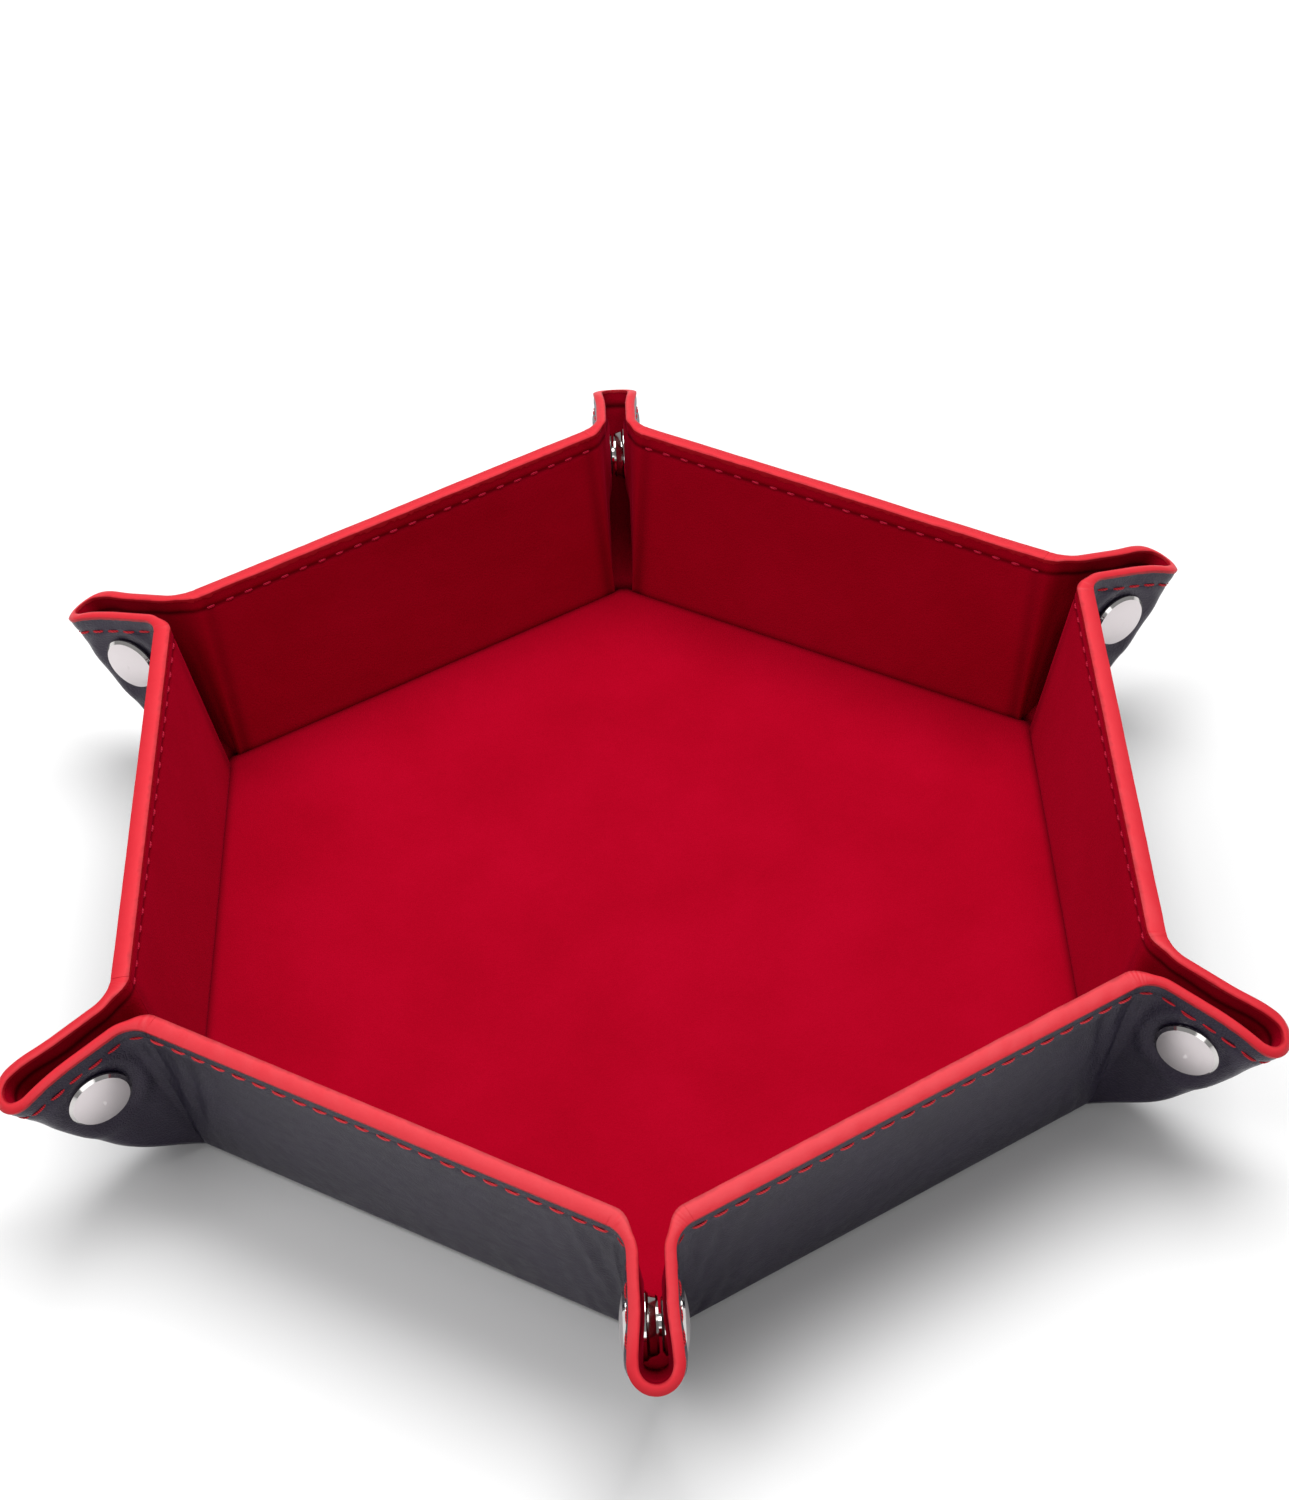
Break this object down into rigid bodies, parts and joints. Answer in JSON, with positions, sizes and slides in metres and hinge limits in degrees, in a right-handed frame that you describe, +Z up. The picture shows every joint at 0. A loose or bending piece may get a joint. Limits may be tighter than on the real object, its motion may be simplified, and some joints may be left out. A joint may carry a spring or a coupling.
{
  "type": "folding dice tray",
  "caption": "Hexagonal folding dice tray: stiffened leather and velvet mat whose walls fold up and whose pinched corners are held by snap fasteners.",
  "frame": {"origin": "centre of the underside of the base, on the surface the tray stands on", "axes": "+Z up out of the tray; +Y through two opposite corners, so the tray is longest along Y; +X through the middles of two opposite walls"},
  "size_m": [0.2328, 0.2656, 0.042],
  "materials": {
    "outer_leather": "satin black artificial leather with fine grain",
    "stiffener_board": "raw grey-brown pressed paperboard, hidden",
    "velvet_lining": "deep red short-pile velvet",
    "snap_metal": "nickel plated, satin cap face and polished rim"
  },
  "bodies": {
    "base": {"base_leather": "outer_leather", "base_board": "stiffener_board", "base_velvet": "velvet_lining"},
    "wall_1": {"wall_leather_1": "outer_leather", "wall_board_1": "stiffener_board", "wall_velvet_1": "velvet_lining"},
    "wall_2": {"wall_leather_2": "outer_leather", "wall_board_2": "stiffener_board", "wall_velvet_2": "velvet_lining"},
    "wall_3": {"wall_leather_3": "outer_leather", "wall_board_3": "stiffener_board", "wall_velvet_3": "velvet_lining"},
    "wall_4": {"wall_leather_4": "outer_leather", "wall_board_4": "stiffener_board", "wall_velvet_4": "velvet_lining"},
    "wall_5": {"wall_leather_5": "outer_leather", "wall_board_5": "stiffener_board", "wall_velvet_5": "velvet_lining"},
    "wall_6": {"wall_leather_6": "outer_leather", "wall_board_6": "stiffener_board", "wall_velvet_6": "velvet_lining"},
    "ear_socket_1": {"ear_flap_socket_1": "outer_leather", "snap_socket_1": "snap_metal"},
    "ear_lip_socket_1": {"ear_lip_socket_1": "outer_leather"},
    "ear_stud_1": {"ear_flap_stud_1": "outer_leather", "snap_stud_1": "snap_metal"},
    "ear_lip_stud_1": {"ear_lip_stud_1": "outer_leather"},
    "ear_socket_2": {"ear_flap_socket_2": "outer_leather", "snap_socket_2": "snap_metal"},
    "ear_lip_socket_2": {"ear_lip_socket_2": "outer_leather"},
    "ear_stud_2": {"ear_flap_stud_2": "outer_leather", "snap_stud_2": "snap_metal"},
    "ear_lip_stud_2": {"ear_lip_stud_2": "outer_leather"},
    "ear_socket_3": {"ear_flap_socket_3": "outer_leather", "snap_socket_3": "snap_metal"},
    "ear_lip_socket_3": {"ear_lip_socket_3": "outer_leather"},
    "ear_stud_3": {"ear_flap_stud_3": "outer_leather", "snap_stud_3": "snap_metal"},
    "ear_lip_stud_3": {"ear_lip_stud_3": "outer_leather"},
    "ear_socket_4": {"ear_flap_socket_4": "outer_leather", "snap_socket_4": "snap_metal"},
    "ear_lip_socket_4": {"ear_lip_socket_4": "outer_leather"},
    "ear_stud_4": {"ear_flap_stud_4": "outer_leather", "snap_stud_4": "snap_metal"},
    "ear_lip_stud_4": {"ear_lip_stud_4": "outer_leather"},
    "ear_socket_5": {"ear_flap_socket_5": "outer_leather", "snap_socket_5": "snap_metal"},
    "ear_lip_socket_5": {"ear_lip_socket_5": "outer_leather"},
    "ear_stud_5": {"ear_flap_stud_5": "outer_leather", "snap_stud_5": "snap_metal"},
    "ear_lip_stud_5": {"ear_lip_stud_5": "outer_leather"},
    "ear_socket_6": {"ear_flap_socket_6": "outer_leather", "snap_socket_6": "snap_metal"},
    "ear_lip_socket_6": {"ear_lip_socket_6": "outer_leather"},
    "ear_stud_6": {"ear_flap_stud_6": "outer_leather", "snap_stud_6": "snap_metal"},
    "ear_lip_stud_6": {"ear_lip_stud_6": "outer_leather"}
  },
  "joints": [
    {"name": "wall_1_fold", "type": "hinge", "parent": "base", "child": "wall_1", "pos_m": [0.0433, -0.075, 0.0009], "axis": [0.866, 0.5, 0], "range_deg": [0, 79]},
    {"name": "wall_2_fold", "type": "hinge", "parent": "base", "child": "wall_2", "pos_m": [0.0866, 0, 0.0009], "axis": [0, 1, 0], "range_deg": [0, 79]},
    {"name": "wall_3_fold", "type": "hinge", "parent": "base", "child": "wall_3", "pos_m": [0.0433, 0.075, 0.0009], "axis": [-0.866, 0.5, 0], "range_deg": [0, 79]},
    {"name": "wall_4_fold", "type": "hinge", "parent": "base", "child": "wall_4", "pos_m": [-0.0433, 0.075, 0.0009], "axis": [-0.866, -0.5, 0], "range_deg": [0, 79]},
    {"name": "wall_5_fold", "type": "hinge", "parent": "base", "child": "wall_5", "pos_m": [-0.0866, 0, 0.0009], "axis": [0, -1, 0], "range_deg": [0, 79]},
    {"name": "wall_6_fold", "type": "hinge", "parent": "base", "child": "wall_6", "pos_m": [-0.0433, -0.075, 0.0009], "axis": [0.866, -0.5, 0], "range_deg": [0, 79]},
    {"name": "ear_socket_1_fold", "type": "hinge", "parent": "wall_1", "child": "ear_socket_1", "pos_m": [0.0834, -0.05185, 0.0009], "axis": [0.1849, -0.3041, 0.9345], "range_deg": [0, 61.63]},
    {"name": "ear_lip_socket_1_fold", "type": "hinge", "parent": "ear_socket_1", "child": "ear_lip_socket_1", "pos_m": [0.0834, -0.05185, 0.0009], "axis": [-0.6436, 0.3716, -0.6691], "range_deg": [0, 90.02]},
    {"name": "ear_stud_1_fold", "type": "hinge", "parent": "wall_1", "child": "ear_stud_1", "pos_m": [0.0032, -0.09815, 0.0009], "axis": [-0.1709, 0.3121, -0.9345], "range_deg": [0, 61.63]},
    {"name": "ear_lip_stud_1_fold", "type": "hinge", "parent": "ear_stud_1", "child": "ear_lip_stud_1", "pos_m": [0.0032, -0.09815, 0.0009], "axis": [0, -0.7431, 0.6691], "range_deg": [0, 90.02]},
    {"name": "ear_socket_2_fold", "type": "hinge", "parent": "wall_2", "child": "ear_socket_2", "pos_m": [0.0866, 0.0463, 0.0009], "axis": [0.3558, 0.0081, 0.9345], "range_deg": [0, 61.63]},
    {"name": "ear_lip_socket_2_fold", "type": "hinge", "parent": "ear_socket_2", "child": "ear_lip_socket_2", "pos_m": [0.0866, 0.0463, 0.0009], "axis": [-0.6436, -0.3716, -0.6691], "range_deg": [0, 90.02]},
    {"name": "ear_stud_2_fold", "type": "hinge", "parent": "wall_2", "child": "ear_stud_2", "pos_m": [0.0866, -0.0463, 0.0009], "axis": [-0.3558, 0.0081, -0.9345], "range_deg": [0, 61.63]},
    {"name": "ear_lip_stud_2_fold", "type": "hinge", "parent": "ear_stud_2", "child": "ear_lip_stud_2", "pos_m": [0.0866, -0.0463, 0.0009], "axis": [0.6436, -0.3716, 0.6691], "range_deg": [0, 90.02]},
    {"name": "ear_socket_3_fold", "type": "hinge", "parent": "wall_3", "child": "ear_socket_3", "pos_m": [0.0032, 0.09815, 0.0009], "axis": [0.1709, 0.3121, 0.9345], "range_deg": [0, 61.63]},
    {"name": "ear_lip_socket_3_fold", "type": "hinge", "parent": "ear_socket_3", "child": "ear_lip_socket_3", "pos_m": [0.0032, 0.09815, 0.0009], "axis": [0, -0.7431, -0.6691], "range_deg": [0, 90.02]},
    {"name": "ear_stud_3_fold", "type": "hinge", "parent": "wall_3", "child": "ear_stud_3", "pos_m": [0.0834, 0.05185, 0.0009], "axis": [-0.1849, -0.3041, -0.9345], "range_deg": [0, 61.63]},
    {"name": "ear_lip_stud_3_fold", "type": "hinge", "parent": "ear_stud_3", "child": "ear_lip_stud_3", "pos_m": [0.0834, 0.05185, 0.0009], "axis": [0.6436, 0.3716, 0.6691], "range_deg": [0, 90.02]},
    {"name": "ear_socket_4_fold", "type": "hinge", "parent": "wall_4", "child": "ear_socket_4", "pos_m": [-0.0834, 0.05185, 0.0009], "axis": [-0.1849, 0.3041, 0.9345], "range_deg": [0, 61.63]},
    {"name": "ear_lip_socket_4_fold", "type": "hinge", "parent": "ear_socket_4", "child": "ear_lip_socket_4", "pos_m": [-0.0834, 0.05185, 0.0009], "axis": [0.6436, -0.3716, -0.6691], "range_deg": [0, 90.02]},
    {"name": "ear_stud_4_fold", "type": "hinge", "parent": "wall_4", "child": "ear_stud_4", "pos_m": [-0.0032, 0.09815, 0.0009], "axis": [0.1709, -0.3121, -0.9345], "range_deg": [0, 61.63]},
    {"name": "ear_lip_stud_4_fold", "type": "hinge", "parent": "ear_stud_4", "child": "ear_lip_stud_4", "pos_m": [-0.0032, 0.09815, 0.0009], "axis": [0, 0.7431, 0.6691], "range_deg": [0, 90.02]},
    {"name": "ear_socket_5_fold", "type": "hinge", "parent": "wall_5", "child": "ear_socket_5", "pos_m": [-0.0866, -0.0463, 0.0009], "axis": [-0.3558, -0.0081, 0.9345], "range_deg": [0, 61.63]},
    {"name": "ear_lip_socket_5_fold", "type": "hinge", "parent": "ear_socket_5", "child": "ear_lip_socket_5", "pos_m": [-0.0866, -0.0463, 0.0009], "axis": [0.6436, 0.3716, -0.6691], "range_deg": [0, 90.02]},
    {"name": "ear_stud_5_fold", "type": "hinge", "parent": "wall_5", "child": "ear_stud_5", "pos_m": [-0.0866, 0.0463, 0.0009], "axis": [0.3558, -0.0081, -0.9345], "range_deg": [0, 61.63]},
    {"name": "ear_lip_stud_5_fold", "type": "hinge", "parent": "ear_stud_5", "child": "ear_lip_stud_5", "pos_m": [-0.0866, 0.0463, 0.0009], "axis": [-0.6436, 0.3716, 0.6691], "range_deg": [0, 90.02]},
    {"name": "ear_socket_6_fold", "type": "hinge", "parent": "wall_6", "child": "ear_socket_6", "pos_m": [-0.0032, -0.09815, 0.0009], "axis": [-0.1709, -0.3121, 0.9345], "range_deg": [0, 61.63]},
    {"name": "ear_lip_socket_6_fold", "type": "hinge", "parent": "ear_socket_6", "child": "ear_lip_socket_6", "pos_m": [-0.0032, -0.09815, 0.0009], "axis": [0, 0.7431, -0.6691], "range_deg": [0, 90.02]},
    {"name": "ear_stud_6_fold", "type": "hinge", "parent": "wall_6", "child": "ear_stud_6", "pos_m": [-0.0834, -0.05185, 0.0009], "axis": [0.1849, 0.3041, -0.9345], "range_deg": [0, 61.63]},
    {"name": "ear_lip_stud_6_fold", "type": "hinge", "parent": "ear_stud_6", "child": "ear_lip_stud_6", "pos_m": [-0.0834, -0.05185, 0.0009], "axis": [-0.6436, -0.3716, 0.6691], "range_deg": [0, 90.02]}
  ],
  "couplings": [
    {"joint": "wall_2_fold", "follows": "wall_1_fold", "ratio": 1},
    {"joint": "wall_3_fold", "follows": "wall_1_fold", "ratio": 1},
    {"joint": "wall_4_fold", "follows": "wall_1_fold", "ratio": 1},
    {"joint": "wall_5_fold", "follows": "wall_1_fold", "ratio": 1},
    {"joint": "wall_6_fold", "follows": "wall_1_fold", "ratio": 1},
    {"joint": "ear_socket_1_fold", "follows": "wall_1_fold", "ratio": 0.77985},
    {"joint": "ear_lip_socket_1_fold", "follows": "wall_1_fold", "ratio": 1.1392},
    {"joint": "ear_stud_1_fold", "follows": "wall_1_fold", "ratio": 0.77985},
    {"joint": "ear_lip_stud_1_fold", "follows": "wall_1_fold", "ratio": 1.1392},
    {"joint": "ear_socket_2_fold", "follows": "wall_1_fold", "ratio": 0.77985},
    {"joint": "ear_lip_socket_2_fold", "follows": "wall_1_fold", "ratio": 1.1392},
    {"joint": "ear_stud_2_fold", "follows": "wall_1_fold", "ratio": 0.77985},
    {"joint": "ear_lip_stud_2_fold", "follows": "wall_1_fold", "ratio": 1.1392},
    {"joint": "ear_socket_3_fold", "follows": "wall_1_fold", "ratio": 0.77985},
    {"joint": "ear_lip_socket_3_fold", "follows": "wall_1_fold", "ratio": 1.1392},
    {"joint": "ear_stud_3_fold", "follows": "wall_1_fold", "ratio": 0.77985},
    {"joint": "ear_lip_stud_3_fold", "follows": "wall_1_fold", "ratio": 1.1392},
    {"joint": "ear_socket_4_fold", "follows": "wall_1_fold", "ratio": 0.77985},
    {"joint": "ear_lip_socket_4_fold", "follows": "wall_1_fold", "ratio": 1.1392},
    {"joint": "ear_stud_4_fold", "follows": "wall_1_fold", "ratio": 0.77985},
    {"joint": "ear_lip_stud_4_fold", "follows": "wall_1_fold", "ratio": 1.1392},
    {"joint": "ear_socket_5_fold", "follows": "wall_1_fold", "ratio": 0.77985},
    {"joint": "ear_lip_socket_5_fold", "follows": "wall_1_fold", "ratio": 1.1392},
    {"joint": "ear_stud_5_fold", "follows": "wall_1_fold", "ratio": 0.77985},
    {"joint": "ear_lip_stud_5_fold", "follows": "wall_1_fold", "ratio": 1.1392},
    {"joint": "ear_socket_6_fold", "follows": "wall_1_fold", "ratio": 0.77985},
    {"joint": "ear_lip_socket_6_fold", "follows": "wall_1_fold", "ratio": 1.1392},
    {"joint": "ear_stud_6_fold", "follows": "wall_1_fold", "ratio": 0.77985},
    {"joint": "ear_lip_stud_6_fold", "follows": "wall_1_fold", "ratio": 1.1392}
  ]
}
